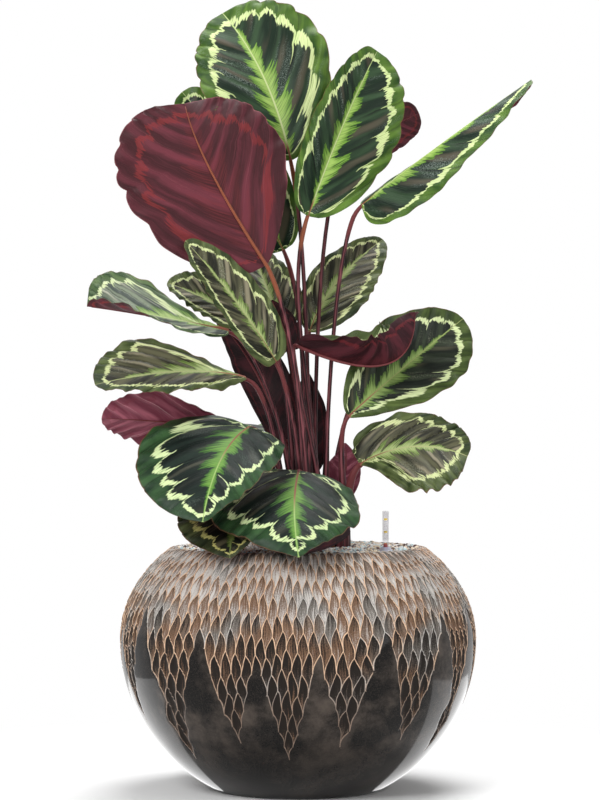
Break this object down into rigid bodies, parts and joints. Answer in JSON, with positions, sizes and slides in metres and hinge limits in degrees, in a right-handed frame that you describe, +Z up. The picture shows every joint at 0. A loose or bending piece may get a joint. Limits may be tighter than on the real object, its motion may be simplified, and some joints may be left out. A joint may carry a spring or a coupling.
{
  "type": "potted calathea",
  "caption": "Round carved pot with a rolled lip, filled with soil and gravel, holding a calathea with patterned leaves on tall stalks and a water-level indicator.",
  "frame": {"origin": "centre of the pot's flat foot, on the surface that it stands on", "axes": "+Z up along the pot's axis; the side that most leaves face is -Y, and the water-level indicator stands to +X of the plant"},
  "size_m": [0.5278, 0.43, 0.9578],
  "materials": {
    "pot": "dark cloudy glaze, with dry sand and grey facets and copper-brown ridges where it is carved",
    "soil": "moist dark potting soil",
    "gravel": "small mixed pebbles, cream, white, grey-blue and brown",
    "crown": "brown fibrous root crown",
    "indicator_tube": "clear, slightly milky plastic",
    "indicator_collar": "pale translucent plastic",
    "indicator_float": "red",
    "leaf": "satin; dark green above with cream ring and lime midrib tufts, burgundy below",
    "stalk": "satin maroon, orange-brown just under the blade"
  },
  "bodies": {
    "root": {"pot": "pot", "soil": "soil", "gravel": "gravel", "crown": "crown", "indicator_tube": "indicator_tube", "indicator_collar": "indicator_collar", "top_left_leaf": "leaf", "top_right_leaf": "leaf", "far_right_leaf": "leaf", "tall_purple_leaf": "leaf", "upper_back_right_leaf": "leaf", "upper_back_left_leaf": "leaf", "mid_back_right_leaf": "leaf", "mid_back_leaf": "leaf", "twisted_left_leaf": "leaf", "mid_left_back_leaf": "leaf", "upper_left_leaf": "leaf", "lower_left_leaf": "leaf", "low_purple_left_leaf": "leaf", "front_left_leaf": "leaf", "front_leaf": "leaf", "rim_left_leaf": "leaf", "rim_front_leaf": "leaf", "low_right_leaf": "leaf", "mid_right_leaf": "leaf", "curled_right_leaf": "leaf", "inner_left_leaf": "leaf", "inner_right_leaf": "leaf", "inner_top_leaf": "leaf", "low_purple_right_leaf": "leaf", "rear_left_leaf": "leaf", "rear_right_leaf": "leaf", "top_left_stalk": "stalk", "top_right_stalk": "stalk", "far_right_stalk": "stalk", "tall_purple_stalk": "stalk", "upper_back_right_stalk": "stalk", "upper_back_left_stalk": "stalk", "mid_back_right_stalk": "stalk", "mid_back_stalk": "stalk", "twisted_left_stalk": "stalk", "mid_left_back_stalk": "stalk", "upper_left_stalk": "stalk", "lower_left_stalk": "stalk", "low_purple_left_stalk": "stalk", "front_left_stalk": "stalk", "front_stalk": "stalk", "rim_left_stalk": "stalk", "rim_front_stalk": "stalk", "low_right_stalk": "stalk", "mid_right_stalk": "stalk", "curled_right_stalk": "stalk", "inner_left_stalk": "stalk", "inner_right_stalk": "stalk", "inner_top_stalk": "stalk", "low_purple_right_stalk": "stalk", "rear_left_stalk": "stalk", "rear_right_stalk": "stalk"},
    "float": {"indicator_float": "indicator_float"}
  },
  "joints": [
    {"name": "float_rise", "type": "slide", "parent": "root", "child": "float", "axis": [0, 0, 1], "range_m": [0, 0.03]}
  ]
}
